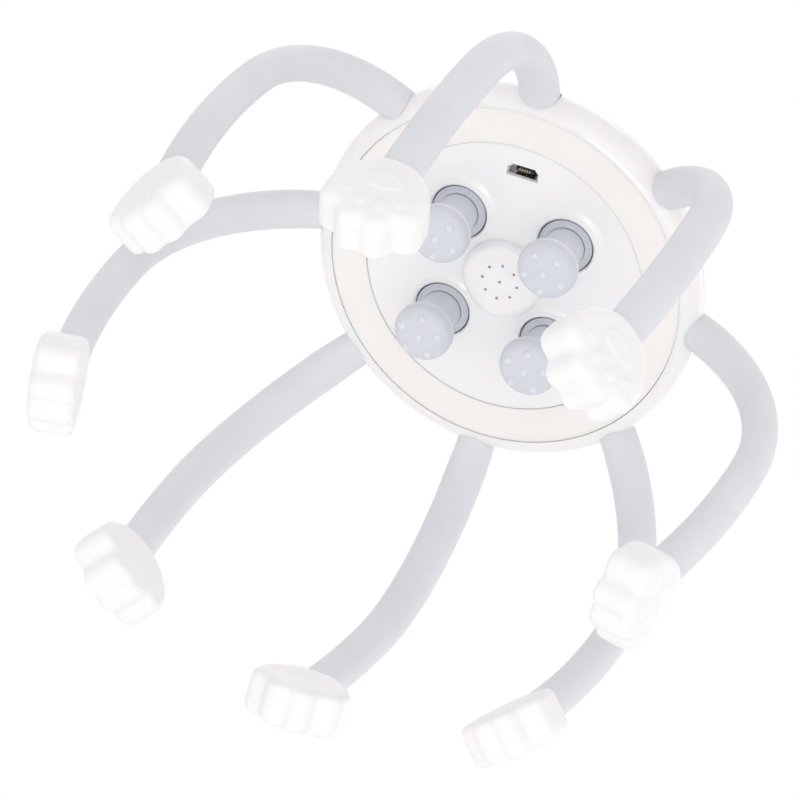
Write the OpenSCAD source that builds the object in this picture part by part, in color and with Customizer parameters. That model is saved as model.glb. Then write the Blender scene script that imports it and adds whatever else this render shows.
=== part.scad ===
// Electric scalp massager: a round battery housing, four kneading heads turned by one gear motor,
// and eight springy arms that end in paw-shaped silicone tips. It stands on the eight tips.
// Z = 0 is the surface it stands on, and the Z axis is the middle of the housing.

/* [Housing] */
// Widest diameter of the housing
body_d = 103.6; // [103:0.2:105]
// Height of the top above the rims of the four head openings
dome_h = 34; // [33.5:0.5:36]
// Wall thickness of the top shell
wall = 2.2; // [1.8:0.1:2.3]
// Diameter of the seam between the top shell and the bottom ring
outer_seam_d = 94.2; // [94:0.1:94.4]
// Diameter of the seam between the bottom ring and the base plate
inner_seam_d = 75; // [74.8:0.1:75.2]
// Diameter of the power button
button_d = 16; // [14:0.5:17]
// Travel of the power button
button_travel = 0.6; // [0.4:0.1:0.7]

/* [Kneading heads] */
// Diameter of each opening in the base plate
opening_d = 14.84; // [14.7:0.02:15]
// Diameter of a silicone head cap
cap_d = 15.4; // [15:0.1:16]
// Distance from the opening rims down to the rim of a cap
cap_reach = 11; // [10:0.1:13]
// Height of a cap from its rim to the middle of its face
cap_h = 5.35; // [5:0.05:6]
// Radius of the rounded shoulder of a cap
cap_edge = 3.2; // [2.8:0.1:3.6]
// Diameter of the massage bumps
bump_d = 2.3; // [1.8:0.1:2.5]
// Radius of the ring of bumps
bump_ring_r = 5.05; // [4.8:0.05:5.2]

/* [Gears] */
// Module of the gear teeth
gear_m = 0.8; // [0.8:0.1:0.8]
// Teeth on the drive gear
drive_teeth = 19; // [19:1:19]
// Teeth on each head gear
head_teeth = 32; // [32:1:32]
// Play between meshing teeth, measured along the pitch circle
backlash = 0.16; // [0.12:0.02:0.2]

/* [Arms] */
// Diameter of a silicone arm
arm_d = 9.6; // [9.2:0.1:9.8]
// Diameter of the spring wire inside an arm
wire_d = 2; // [1.6:0.1:2.2]
// Distance from the middle to the furthest point of an arm's centre line
arm_reach = 82; // [81:0.5:84]
// Drop from the opening rims to that furthest point
arm_drop = 46; // [44:0.5:48]
// Radius of the upper bend of an arm
bend_r = 58; // [57.5:0.25:58.5]
// Radius of the long inward curve of an arm
curve_r = 200; // [180:5:240]
// Angle of that curve at the paw
curve_a = 14.5; // [13:0.5:16]

/* [Paws] */
// Width of a paw across its toes
paw_w = 24.4; // [23.5:0.2:25]
// Height of a paw from wrist to toes
paw_h = 22.6; // [22:0.2:23.4]
// Thickness of a paw from its back to its palm
paw_t = 11.6; // [11.2:0.2:12.4]
// Radius of a toe
toe_r = 3.35; // [3.2:0.05:3.5]

/* [Hidden] */
$fn = 72;

ARMS = 8;
HEADS = 4;

// Small gap left between pieces that only touch
fit = 0.05;
eps = 0.01;

// Heights below are measured from the plane of the four opening rims, upwards.
// Housing outline: a lower rim arc, an upper rim arc and a spherical top, each tangent to the next
rim_r = body_d / 2;
rim_z = 5;
low_arc_r = 5;
up_arc_r = 9;
up_arc_x = rim_r - up_arc_r;
dome_rise = dome_h - rim_z;
dome_r = (up_arc_x ^ 2 + dome_rise ^ 2 - up_arc_r ^ 2) / (2 * (dome_rise - up_arc_r));
dome_cz = dome_h - dome_r;
dome_join_a = atan2(rim_z - dome_cz, up_arc_x);
shell_seam_r = outer_seam_d / 2;

// Bottom ring and base plate
ring_z = 0.3;
ring_t = 2;
seam_gap = 0.1;
seam_bevel = 0.12;
plate_r = inner_seam_d / 2 - seam_gap;
plate_flat_r = 30.5;
plate_edge_z = 0.5;
plate_z = 0.9;
plate_top = 3;
shelf_r = 35.8;
shelf_top = 4.4;
clip_t = 1.2;
clip_reach = 0.9;
clip_z = 6;

// Kneading heads and gears
pitch_a = (drive_teeth + head_teeth) * gear_m / 2;
pressure_a = 20;
gear_z = 6;
gear_t = 4;
open_r = opening_d / 2;
lip_w = 1.3;
lip_bead_r = 0.7;
swell_w = 2.6;
swell_r = 6.4;
swell_over = 0.02;
guide_top = 5.5;
journal_r = open_r - 0.07;
collar_r = 7.05;
collar_z = 0.3;
dish_x = 6.12;
dish_r = 1.28;
dish_z = 0.6;
stem_r = 5.2;
stem_top = 0.55;
post_r = 2.5;
post_end = -13.2;
pin_top = 13.3;
cap_r = cap_d / 2;
cap_rim_r = 0.3;
cap_plane = -cap_reach;
cap_face = cap_plane - cap_h;
crown_r = 32;
crown_z = cap_face + crown_r;
shoulder_x = cap_r - cap_edge;
shoulder_z = crown_z - sqrt((crown_r - cap_edge) ^ 2 - shoulder_x ^ 2);
bump_sink = 0.35;

// Centre boss over the sounder: a flat face with a rounded edge
grille_r = 10.6;
grille_edge = 2.4;
grille_z = -2.1;
grille_wall = 1.6;
grille_fillet = 0.6;
sound_hole_r = 0.38;
sound_ring_r = 4.72;
sounder_r = 6;
sounder_z = 1;
sounder_t = 2.6;

// Frame that carries the motor and the upper ends of the spindles
frame_z = 11;
frame_t = 2;
frame_r = 34.6;
frame_top = frame_z + frame_t;
bush_r = 3.5;
frame_screw_xy = [10.4, 30.9];
boss_r = 2.7;
screw_r = 1;
screw_head_r = 1.7;
screw_head_t = 1.4;

// Motor, shaft and battery
shaft_r = 1.5;
gearbox_r = 12.5;
gearbox_t = 5.5;
can_r = 12.1;
can_t = 6.2;
motor_z = frame_top + fit;
cell_size = [19.6, 25, 5.3];
cell_x = -25.6;
tray_wall = 1.1;

// Control board, switch and power button
board_r = 19.5;
board_t = 1.2;
board_z = 26.7;
board_top = board_z + board_t;
board_boss_r = 2.6;
board_boss_ring = 16.6;
switch_size = 6;
switch_t = 1.6;
plunger_r = 1.6;
plunger_top = board_top + switch_t + 0.75;
button_r = button_d / 2;
light_r = 10.4;
light_bore_r = button_r + 0.12;
light_sleeve_r = button_r + 0.9;
flange_gap = 0.25;

// Charging socket
port_y = -30.6;
port_w = 7.6;
port_h = 2.7;
port_chamfer = 1.1;
port_z = 1.6;
port_len = 5;
port_skin = 0.3;
port_board_z = port_z + port_len + fit;

// Arm centre line: an upper bend that turns from the housing to straight down, then the inward curve
bend_x = arm_reach - bend_r;
root_a = 70;
flex_a = 52;
wire_root_a = 75;
socket_len = 7;
socket_a = socket_len / curve_r * 180 / PI;
tube_r = arm_d / 2;
wire_r = wire_d / 2;
arm_taper = 0.1;

// Set that each arm has taken: extra inward bend at its furthest point, and sideways twist below its root
arm_bend = [1, 1, 10, 4, 1.5, -3.5, 1.5, -2];
arm_twist = [2.5, -1, 2, 2, 0, 2, -1, 1];
flex_x = bend_x + bend_r * cos(flex_a);
flex_drop = arm_drop - bend_r * sin(flex_a);

// Ring that anchors the arm wires
anchor_in_r = 38.2;
anchor_out_r = 44;
anchor_top = 11.4;
ring_screw_r = 41.7;
ring_screw_z = 3.9;
cradle_w = 15;
cradle_out_r = 46.3;
cradle_top = 8.6;

// Paws: a toe is a thick disc with a rounded edge, and so are the palm and the cheeks
paw_edge = 2.7;
toe_edge = 2.6;
toe_t = paw_t - 0.5;
toe_gap = (paw_w - 2 * toe_r) / 3;
toe_lift = 4.1;
palm_r = 10.6;
cheek_r = 5.4;
tip_drop = arm_drop + curve_r * sin(curve_a);
toe_side = (toe_r - toe_edge) * cos(curve_a) + (toe_t / 2 - toe_edge) * sin(curve_a) + toe_edge;
toe_flat = 0.25;

// Height of the opening rims above the surface that the paws stand on
lip_z = tip_drop + (paw_h - toe_r) * cos(curve_a) + toe_side - toe_flat;

// Angle at which the inward curve of arm k ends, so that all paws stand on that surface
function paw_a(k) =
    let (b = arm_bend[k - 1], out = curve_r + toe_t / 2 - toe_edge, down = paw_h - toe_edge)
    let (drop = lip_z + toe_flat - toe_edge - arm_drop + (curve_r - bend_r) * sin(b))
    asin(drop / norm([out, down])) - atan(down / out) - b;

function numbered(name, n) = [for (k = [1:n]) str(name, "_", k)];
function arm_azimuth(k) = (k - 1) * 360 / ARMS;
function head_azimuth(k) = 45 + (k - 1) * 360 / HEADS;

SHELL_WHITE = [0.95, 0.95, 0.96];
WARM_WHITE = [0.95, 0.93, 0.92];
ARM_GREY = [0.82, 0.84, 0.85];
HEAD_GREY = [0.70, 0.75, 0.80];

// ---------- shared shapes ----------

// Turns its children round to every azimuth of a set of n
module around(n, first = 0) {
    for (k = [0:n - 1]) rotate([0, 0, first + k * 360 / n]) children();
}

// Copies its children to the corners of a centred rectangle, given by half its sides
module at_corners(half, z = 0) {
    for (sx = [-1, 1], sy = [-1, 1]) translate([sx * half.x, sy * half.y, z]) children();
}

module above_lips(z = 0) {
    translate([0, 0, lip_z + z]) children();
}

// Stretch of the bend's torus between two angles, in the plane of an arm at azimuth 0
module bend(from_a, to_a, r, bore = 0) {
    translate([bend_x, 0, lip_z - arm_drop]) rotate([90, 0, 0]) rotate([0, 0, from_a])
        rotate_extrude(angle = to_a - from_a) translate([bend_r, 0]) ring_section(r, bore);
}

// Stretch of the inward curve's torus, from its start down to an angle
module inward_curve(from_a, to_a, r, bore = 0) {
    translate([arm_reach - curve_r, 0, lip_z - arm_drop]) rotate([90, 0, 0]) rotate([0, 0, -to_a])
        rotate_extrude(angle = to_a - from_a) translate([curve_r, 0]) ring_section(r, bore);
}

// Takes what hangs below the root of a plain arm at azimuth 0 to arm k, with that arm's twist
module below_root(k) {
    rotate([0, 0, arm_azimuth(k)]) translate([flex_x, 0, lip_z - flex_drop])
        rotate(a = arm_twist[k - 1], v = [sin(flex_a), 0, -cos(flex_a)])
            translate([-flex_x, 0, flex_drop - lip_z]) children();
}

// Takes what hangs below a plain arm's furthest point to the end of arm k's longer or shorter bend
module below_bend(k) {
    translate([bend_x, 0, lip_z - arm_drop]) rotate([0, arm_bend[k - 1], 0])
        translate([-bend_x, 0, arm_drop - lip_z]) children();
}

module ring_section(r, bore) {
    difference() {
        circle(r);
        if (bore > 0) circle(bore);
    }
}

// Thick disc round Z with a rounded edge
module pill(r, t, edge) {
    rotate_extrude() {
        translate([0, -t / 2]) square([r - edge, t]);
        translate([0, edge - t / 2]) square([r, t - 2 * edge]);
        for (side = [-1, 1]) translate([r - edge, side * (t / 2 - edge)]) intersection() {
            circle(edge);
            translate([0, -edge]) square([edge, 2 * edge]);
        }
    }
}

// Cross-head machine screw, head up, its seat at Z = 0
module screw(shank) {
    difference() {
        union() {
            cylinder(r = screw_head_r, h = screw_head_t);
            translate([0, 0, -shank]) cylinder(r = screw_r - fit, h = shank + eps);
        }
        for (turn = [0, 90]) rotate([0, 0, turn]) translate([-1.2, -0.25, 0.7]) cube([2.4, 0.5, 1]);
    }
}

// ---------- housing ----------

// Right half of the housing's outline, moved inwards by a distance
module housing_outline(inset) {
    far = dome_r + 8;
    translate([0, inset]) square([rim_r - low_arc_r, rim_z + 0.8 * (low_arc_r - inset) - inset]);
    translate([rim_r - low_arc_r, rim_z]) circle(low_arc_r - inset);
    intersection() {
        translate([up_arc_x, rim_z]) circle(up_arc_r - inset);
        translate([up_arc_x - 1, rim_z]) square([up_arc_r + 1, up_arc_r]);
    }
    intersection() {
        translate([0, dome_cz]) circle(dome_r - inset, $fn = 180);
        polygon([
            [0, rim_z],
            [up_arc_x, rim_z],
            [far * cos(dome_join_a), dome_cz + far * sin(dome_join_a)],
            [0, dome_h + 60]
        ]);
    }
}

module top_shell() {
    color(SHELL_WHITE) difference() {
        above_lips() union() {
            rotate_extrude() difference() {
                housing_outline(0);
                housing_outline(wall);
                translate([-eps, -1]) square([shell_seam_r + eps, wall + 2]);
            }
            intersection() {
                around(3) translate([board_boss_ring, 0, board_top])
                    cylinder(r = board_boss_r, h = dome_h - board_top);
                rotate_extrude() housing_outline(wall / 2);
            }
            intersection() {
                around(4, 22.5) translate([ring_screw_r, 0, anchor_top + fit]) cylinder(r = 2.4, h = 6);
                rotate_extrude() housing_outline(wall / 2);
            }
        }
        around(ARMS) bend(flex_a, root_a + 0.2, tube_r + fit);
        above_lips(dome_h - 6) cylinder(r = light_sleeve_r + fit, h = 10);
        above_lips(dome_h - 1.9) cylinder(r = light_r + fit, h = 4);
        above_lips() around(3) translate([board_boss_ring, 0, board_top - 1]) cylinder(r = screw_r, h = 2.6);
        above_lips(anchor_top - 1) around(4, 22.5) translate([ring_screw_r, 0, 0])
            cylinder(r = screw_r, h = 5);
    }
}

// Flat ring between the two seams, with a shelf for the base plate and clips that grip the anchor ring
module bottom_ring() {
    outer = shell_seam_r - seam_gap;
    color(WARM_WHITE) difference() {
        above_lips() union() {
            rotate_extrude() polygon([
                [plate_r + seam_gap, ring_z + seam_bevel], [plate_r + seam_gap + seam_bevel, ring_z],
                [outer - seam_bevel, ring_z], [outer, ring_z + seam_bevel],
                [outer, 3.3], [45.2, 3.3], [45.2, ring_z + ring_t],
                [39.6, ring_z + ring_t], [39.6, shelf_top],
                [shelf_r, shelf_top], [shelf_r, plate_top + fit], [plate_r + seam_gap, plate_top + fit]
            ]);
            around(4, 67.5) clip(anchor_out_r + fit + clip_t, -1, ring_z + ring_t - eps, clip_z, 5);
        }
        around(ARMS) bend(flex_a, root_a + 1, tube_r + fit);
    }
}

// Springy clip standing at a radius, with a barb on its top that points outwards (1) or inwards (-1)
module clip(r, side, from_z, barb_z, width) {
    tip_r = clip_t + clip_reach;
    translate([r, width / 2, 0]) rotate([90, 0, 0]) linear_extrude(width) mirror([side < 0 ? 1 : 0, 0])
        polygon([
            [0, from_z], [clip_t, from_z], [clip_t, barb_z], [tip_r, barb_z],
            [tip_r, barb_z + 0.3], [clip_t, barb_z + 1.1], [0, barb_z + 1.1]
        ]);
}

// Rim profile round one head opening: a raised bead with a hollow swell round it, and the guide sleeve
module opening_rim() {
    swell_x = open_r + lip_w + swell_w;
    rotate_extrude() {
        translate([open_r + lip_bead_r, lip_bead_r]) circle(lip_bead_r);
        translate([open_r, lip_bead_r]) square([lip_w + 0.3, guide_top - lip_bead_r]);
        difference() {
            translate([open_r + lip_bead_r, 0]) square([lip_w - lip_bead_r + swell_w - 0.2, plate_z + 0.1]);
            translate([swell_x, plate_z + swell_over - swell_r]) circle(swell_r, $fn = 180);
        }
    }
}

// Half profile of the centre boss, with a fillet at its foot
module boss_outline() {
    shoulder = grille_r - grille_edge;
    foot_z = plate_z - grille_fillet;
    translate([0, grille_z]) square([shoulder, plate_top - grille_z]);
    translate([shoulder, grille_z + grille_edge]) circle(grille_edge);
    translate([0, grille_z + grille_edge]) square([grille_r, plate_top - grille_z - grille_edge]);
    difference() {
        translate([grille_r - eps, foot_z]) square([grille_fillet, grille_fillet + 0.1]);
        translate([grille_r - eps + grille_fillet, foot_z + 2 * eps]) circle(grille_fillet);
    }
}

module usb_outline(grow) {
    w = port_w / 2 + grow;
    h = port_h / 2 + grow;
    polygon([
        [-w, h], [w, h], [w, port_chamfer - h], [w - port_chamfer, -h],
        [port_chamfer - w, -h], [-w, port_chamfer - h]
    ]);
}

module base_plate() {
    color(WARM_WHITE) above_lips() difference() {
        union() {
            rotate_extrude() difference() {
                union() {
                    polygon([
                        [0, plate_z], [plate_flat_r, plate_z], [plate_r - seam_bevel, plate_edge_z],
                        [plate_r, plate_edge_z + seam_bevel], [plate_r, plate_top], [0, plate_top]
                    ]);
                    boss_outline();
                }
                translate([0, grille_z + grille_wall]) square([sounder_r - 0.8, 5]);
                translate([0, sounder_z]) square([sounder_r + fit, 5]);
            }
            around(HEADS, 45) translate([pitch_a, 0, 0]) opening_rim();
            at_corners(frame_screw_xy, plate_top - eps) cylinder(r = boss_r, h = frame_z - plate_top + eps);
            around(4) clip(shelf_r - clip_reach / 4 - clip_t, 1, plate_top - eps, shelf_top + fit, 6);
            for (sx = [-1, 1]) translate([sx * 6.2, port_y, plate_top - eps])
                cylinder(r = 1.5, h = port_board_z - plate_top + eps);
        }
        around(HEADS, 45) translate([pitch_a, 0, -1]) cylinder(r = open_r, h = 10);
        at_corners(frame_screw_xy, plate_top + 1) cylinder(r = screw_r, h = 10);
        around(8) translate([sound_ring_r, 0, grille_z - 1]) cylinder(r = sound_hole_r, h = 5);
        translate([0, 0, grille_z - 1]) cylinder(r = sound_hole_r, h = 5);
        translate([0, port_y, plate_z - 2]) linear_extrude(6) usb_outline(port_skin + fit);
    }
}

// ---------- gear train ----------

function involute(a) = tan(a) - a * PI / 180;

// Half the angle that a tooth spans at radius r
function half_tooth(teeth, r) =
    let (pitch_r = teeth * gear_m / 2, base_r = pitch_r * cos(pressure_a))
    90 / teeth - backlash / (4 * pitch_r) * 180 / PI
    + (involute(pressure_a) - involute(acos(min(1, base_r / r)))) * 180 / PI;

// Outline of a spur gear with involute flanks, a tooth centred on +X
module gear_outline(teeth) {
    pitch_r = teeth * gear_m / 2;
    base_r = pitch_r * cos(pressure_a);
    tip_r = pitch_r + 0.95 * gear_m;
    root_r = pitch_r - 1.25 * gear_m;
    start_r = max(base_r, root_r) + 0.02;
    steps = 4;
    flank = [for (i = [0:steps]) start_r + (tip_r - start_r) * i / steps];
    foot = half_tooth(teeth, start_r);
    points = [for (tooth = [0:teeth - 1]) let (mid = tooth * 360 / teeth) each concat(
        [root_r * [cos(mid - foot), sin(mid - foot)]],
        [for (r = flank) r * [cos(mid - half_tooth(teeth, r)), sin(mid - half_tooth(teeth, r))]],
        [for (i = [steps:-1:0]) let (r = flank[i], a = mid + half_tooth(teeth, r)) r * [cos(a), sin(a)]],
        [root_r * [cos(mid + foot), sin(mid + foot)]]
    )];
    polygon(points);
}

// Turn of head gear k that puts a tooth gap where the drive gear's tooth points at it
function mesh_turn(k) =
    let (a = head_azimuth(k), drive_pitch = 360 / drive_teeth, head_pitch = 360 / head_teeth)
    let (drive_phase = (a / drive_pitch) - floor(a / drive_pitch))
    a + 180 + head_pitch * (drive_phase + 0.5);

module drive_gear() {
    color([0.93, 0.93, 0.88]) above_lips() difference() {
        union() {
            translate([0, 0, gear_z]) linear_extrude(gear_t) gear_outline(drive_teeth);
            translate([0, 0, gear_z + gear_t - eps]) cylinder(r = 3.4, h = 0.8);
        }
        translate([0, 0, gear_z - 1]) cylinder(r = shaft_r, h = gear_t + 4);
    }
}

module motor_shaft() {
    color("silver") above_lips(gear_z - 0.4) difference() {
        cylinder(r = shaft_r - eps, h = motor_z - gear_z + 0.4 + 3.5);
        translate([1, -2, -eps]) cube([2, 4, 0.4]);
    }
}

// Toothed spindle of one kneading head: gear, journal, dished collar, post and upper pin in one moulding
module head_spindle(k) {
    color([0.80, 0.83, 0.87]) rotate([0, 0, head_azimuth(k)]) translate([pitch_a, 0, lip_z])
    rotate([0, 0, mesh_turn(k) - head_azimuth(k)]) union() {
        translate([0, 0, gear_z]) linear_extrude(gear_t) difference() {
            gear_outline(head_teeth);
            for (i = [0:5]) rotate([0, 0, i * 60]) translate([9.1, 0]) circle(2);
        }
        rotate_extrude() difference() {
            polygon([
                [0, post_end], [post_r, post_end], [post_r, stem_top + fit],
                [stem_r + fit, stem_top + fit], [stem_r + fit, collar_z], [collar_r - 0.2, collar_z],
                [collar_r, collar_z + 0.2], [collar_r, 2.5], [journal_r, 2.9], [journal_r, gear_z + eps],
                [post_r + 0.9, gear_z + eps], [post_r + 0.9, frame_z - 0.3], [post_r, frame_z - 0.3],
                [post_r, pin_top - 0.3], [post_r - 0.3, pin_top], [0, pin_top]
            ]);
            translate([dish_x, dish_z - dish_r]) circle(dish_r);
            translate([-eps, 6.6]) square([1.1, 10]);
        }
    }
}

// Half profile of a cap's head: a rim, a rounded shoulder and a slightly crowned face, tangent in turn
module cap_outline() {
    join_a = asin(shoulder_x / (crown_r - cap_edge));
    far = crown_r + 1;
    translate([0, shoulder_z]) square([cap_r, cap_plane - cap_rim_r - shoulder_z]);
    translate([0, cap_plane - 2 * cap_rim_r]) square([cap_r - cap_rim_r, 2 * cap_rim_r]);
    translate([cap_r - cap_rim_r, cap_plane - cap_rim_r]) circle(cap_rim_r);
    translate([shoulder_x, shoulder_z]) circle(cap_edge);
    intersection() {
        translate([0, crown_z]) circle(crown_r, $fn = 360);
        polygon([
            [0, shoulder_z],
            [shoulder_x, shoulder_z],
            [far * sin(join_a), crown_z - far * cos(join_a)],
            [0, cap_face - 1]
        ]);
    }
}

// Silicone cap of one kneading head: a stem pushed over the spindle's post, and a bumped mushroom head
module head_cap(k) {
    toward_middle = head_azimuth(k) > 180 ? 90 : -90;
    ring_depth = sqrt((cap_edge - bump_sink) ^ 2 - (bump_ring_r - shoulder_x) ^ 2);
    color(HEAD_GREY) rotate([0, 0, head_azimuth(k)]) translate([pitch_a, 0, lip_z])
    rotate([0, 0, toward_middle - head_azimuth(k)]) difference() {
        union() {
            rotate_extrude() {
                translate([0, cap_plane - eps]) square([stem_r, stem_top - cap_plane + eps]);
                cap_outline();
            }
            translate([0, 0, cap_face + bump_sink]) sphere(bump_d / 2);
            around(5) translate([bump_ring_r, 0, shoulder_z - ring_depth]) sphere(bump_d / 2);
        }
        translate([0, 0, post_end - fit]) cylinder(r = post_r + eps, h = stem_top - post_end + 1);
    }
}

module spindle_bushes() {
    color([0.72, 0.55, 0.33]) above_lips() around(HEADS, 45) translate([pitch_a, 0, 0]) difference() {
        union() {
            translate([0, 0, frame_z]) cylinder(r = bush_r - eps, h = frame_t);
            translate([0, 0, frame_top]) cylinder(r = bush_r + 0.8, h = 0.5);
        }
        translate([0, 0, frame_z - 1]) cylinder(r = post_r + fit, h = 6);
    }
}

module gear_frame() {
    color([0.88, 0.89, 0.9]) above_lips() difference() {
        union() {
            translate([0, 0, frame_z]) cylinder(r = frame_r, h = frame_t);
            translate([0, 0, frame_top - eps]) difference() {
                cylinder(r = gearbox_r + 1.2, h = 2);
                translate([0, 0, -1]) cylinder(r = gearbox_r + fit, h = 4);
            }
            translate([cell_x, 0, frame_top + 1 - eps]) difference() {
                cube([cell_size.x + 2 * tray_wall, cell_size.y + 2 * tray_wall, 2], center = true);
                cube([cell_size.x + 2 * fit, cell_size.y + 2 * fit, 4], center = true);
            }
        }
        translate([0, 0, frame_z - 1]) cylinder(r = shaft_r + 0.9, h = 5);
        around(HEADS, 45) translate([pitch_a, 0, frame_z - 1]) {
            cylinder(r = bush_r, h = 5);
            translate([0, 0, frame_t + 1]) cylinder(r = bush_r + 1, h = 5);
        }
        at_corners(frame_screw_xy, frame_z - 1) cylinder(r = screw_r + 0.1, h = 5);
        // Window over the charging socket's board, and one that lightens the other side
        translate([-8, port_y - 6.5, frame_z - 1]) cube([16, 8, 5]);
        translate([24, 0, frame_z - 1]) cylinder(r = 6, h = 5);
        translate([-3.5, 22, frame_z - 1]) cube([7, 9, 5]);
    }
}

module frame_screws() {
    color("silver") above_lips() at_corners(frame_screw_xy, frame_top) screw(8);
}

module motor_gearbox() {
    color([0.75, 0.76, 0.78]) above_lips(motor_z) difference() {
        union() {
            cylinder(r = gearbox_r, h = gearbox_t);
            translate([0, 0, fit - frame_t + 0.4]) cylinder(r = shaft_r + 0.85, h = frame_t);
        }
        translate([0, 0, -4]) cylinder(r = shaft_r + fit, h = 8);
    }
}

module motor_can() {
    color([0.62, 0.63, 0.66]) above_lips(motor_z + gearbox_t) {
        rotate_extrude() {
            square([can_r - 0.8, can_t]);
            square([can_r, can_t - 0.8]);
            translate([can_r - 0.8, can_t - 0.8]) circle(0.8);
        }
        translate([0, 0, can_t - eps]) cylinder(r = 3, h = 0.6);
        for (side = [-1, 1]) translate([side * 7 - 0.9, -0.2, can_t - eps]) cube([1.8, 0.4, 1.1]);
    }
}

// ---------- electrics ----------

module battery_cell() {
    r = 1.2;
    color([0.55, 0.6, 0.66]) above_lips(frame_top + 0.5 + fit) translate([cell_x, 0, 0]) {
        linear_extrude(cell_size.z) union() {
            square([cell_size.x - 2 * r, cell_size.y], center = true);
            square([cell_size.x, cell_size.y - 2 * r], center = true);
            at_corners([cell_size.x / 2 - r, cell_size.y / 2 - r]) circle(r);
        }
    }
}

module battery_pad() {
    color([0.25, 0.26, 0.28]) above_lips(frame_top) translate([cell_x - 7, -9, 0]) cube([14, 18, 0.5]);
}

module control_board() {
    color([0.16, 0.42, 0.28]) above_lips() difference() {
        union() {
            translate([0, 0, board_z]) cylinder(r = board_r, h = board_t);
            translate([-15.5, -4, board_z - 1.2]) cube([6.5, 8, 1.2 + eps]);
            translate([5, 6, board_z - 1]) cube([5, 4, 1 + eps]);
            translate([4, -12, board_z - 1.4]) cube([8, 4, 1.4 + eps]);
        }
        around(3) translate([board_boss_ring, 0, board_z - 1]) cylinder(r = screw_r + 0.1, h = 4);
    }
}

module board_screws() {
    color("silver") above_lips(board_z) around(3) translate([board_boss_ring, 0, 0])
        mirror([0, 0, 1]) screw(2.5);
}

module tact_switch() {
    color([0.2, 0.2, 0.22]) above_lips(board_top) difference() {
        translate([-switch_size / 2, -switch_size / 2, 0]) cube([switch_size, switch_size, switch_t]);
        translate([0, 0, 0.6]) cylinder(r = plunger_r + fit, h = 3);
    }
}

module switch_plunger() {
    color([0.75, 0.2, 0.18]) above_lips(board_top + 0.6 + button_travel + fit)
        cylinder(r = plunger_r, h = plunger_top - board_top - 0.6 - button_travel - fit);
}

module status_lights() {
    color([0.98, 0.95, 0.75]) above_lips(board_top) around(4, 45) translate([light_sleeve_r + 0.3, 0, 0.4])
        cube([1.6, 2.4, 0.8], center = true);
}

// Clear ring let into the top shell: it guides the button and carries the light
module light_ring() {
    color([0.85, 0.93, 0.98]) above_lips() intersection() {
        difference() {
            union() {
                translate([0, 0, dome_h - 1.9]) cylinder(r = light_r, h = 1.9);
                translate([0, 0, dome_h - 2.7]) cylinder(r = light_sleeve_r, h = 2.7);
            }
            translate([0, 0, dome_h - 6]) cylinder(r = light_bore_r, h = 10);
        }
        rotate_extrude() housing_outline(0.02);
    }
}

// Button: a disc that follows the dome, a flange that keeps it in, and a foot that meets the switch
module power_button() {
    flange_top = dome_h - 2.7 - flange_gap;
    color([0.86, 0.88, 0.91]) above_lips() difference() {
        union() {
            intersection() {
                translate([0, 0, flange_top - 0.8]) cylinder(r = button_r, h = 6);
                translate([0, 0, dome_cz + 0.35]) rotate_extrude() intersection() {
                    circle(dome_r, $fn = 180);
                    translate([0, dome_r - 8]) square([button_r + 1, 9]);
                }
            }
            translate([0, 0, flange_top - 0.8]) cylinder(r = light_sleeve_r - 0.1, h = 0.8);
            translate([0, 0, plunger_top]) cylinder(r = 2, h = flange_top - plunger_top);
        }
        translate([0, 0, flange_top - 0.8 - eps]) difference() {
            cylinder(r = button_r - 1.2, h = 2.2);
            translate([0, 0, -1]) cylinder(r = 2, h = 5);
        }
    }
}

module usb_shell() {
    color("silver") above_lips(port_z) translate([0, port_y, 0]) difference() {
        linear_extrude(port_len) usb_outline(port_skin);
        translate([0, 0, -eps]) linear_extrude(port_len - 0.4) usb_outline(0);
    }
}

module usb_tongue() {
    color([0.1, 0.1, 0.11]) above_lips(port_z) translate([-2.4, port_y - 0.05, 0.9])
        cube([4.8, 0.7, port_len - 0.9 - 0.4 - eps]);
}

module usb_board() {
    color([0.16, 0.42, 0.28]) above_lips(port_board_z) translate([-7.5, port_y - 3, 0]) cube([15, 6, 1]);
}

// Piezo sounder behind the nine holes of the centre boss
module sounder() {
    color([0.12, 0.12, 0.13]) above_lips(sounder_z + fit) difference() {
        cylinder(r = sounder_r, h = sounder_t);
        translate([0, 0, -eps]) cylinder(r = 1, h = 0.8);
    }
}

// ---------- arms ----------

// Ring screwed over the bottom ring: it grips the arm ends and the hooked ends of their wires
module anchor_ring() {
    base = ring_z + ring_t + fit;
    color([0.88, 0.89, 0.9]) difference() {
        above_lips() union() {
            rotate_extrude() polygon([
                [39.7, base], [anchor_out_r, base], [anchor_out_r, anchor_top - 0.8],
                [anchor_out_r - 0.8, anchor_top], [anchor_in_r, anchor_top],
                [anchor_in_r, shelf_top + fit], [39.7, shelf_top + fit]
            ]);
            around(ARMS) intersection() {
                translate([anchor_out_r - 3, -cradle_w / 2, 3.4])
                    cube([cradle_out_r - anchor_out_r + 3, cradle_w, cradle_top - 3.4]);
                cylinder(r = cradle_out_r, h = 20);
            }
        }
        around(ARMS) bend(flex_a, root_a + 0.05, tube_r + fit);
        around(ARMS) bend(root_a - 1, wire_root_a + 0.1, wire_r + fit);
        above_lips() around(4, 22.5) translate([ring_screw_r, 0, 0]) {
            cylinder(r = screw_head_r + 0.15, h = ring_screw_z);
            cylinder(r = screw_r + 0.1, h = 20);
        }
        above_lips() around(4, 67.5) translate([anchor_out_r - clip_reach - 0.15, -3, clip_z - 0.1])
            cube([4, 6, 1.4]);
    }
}

module ring_screws() {
    color("silver") above_lips(ring_screw_z) around(4, 22.5) translate([ring_screw_r, 0, 0])
        mirror([0, 0, 1]) screw(anchor_top - ring_screw_z + 3.4);
}

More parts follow.
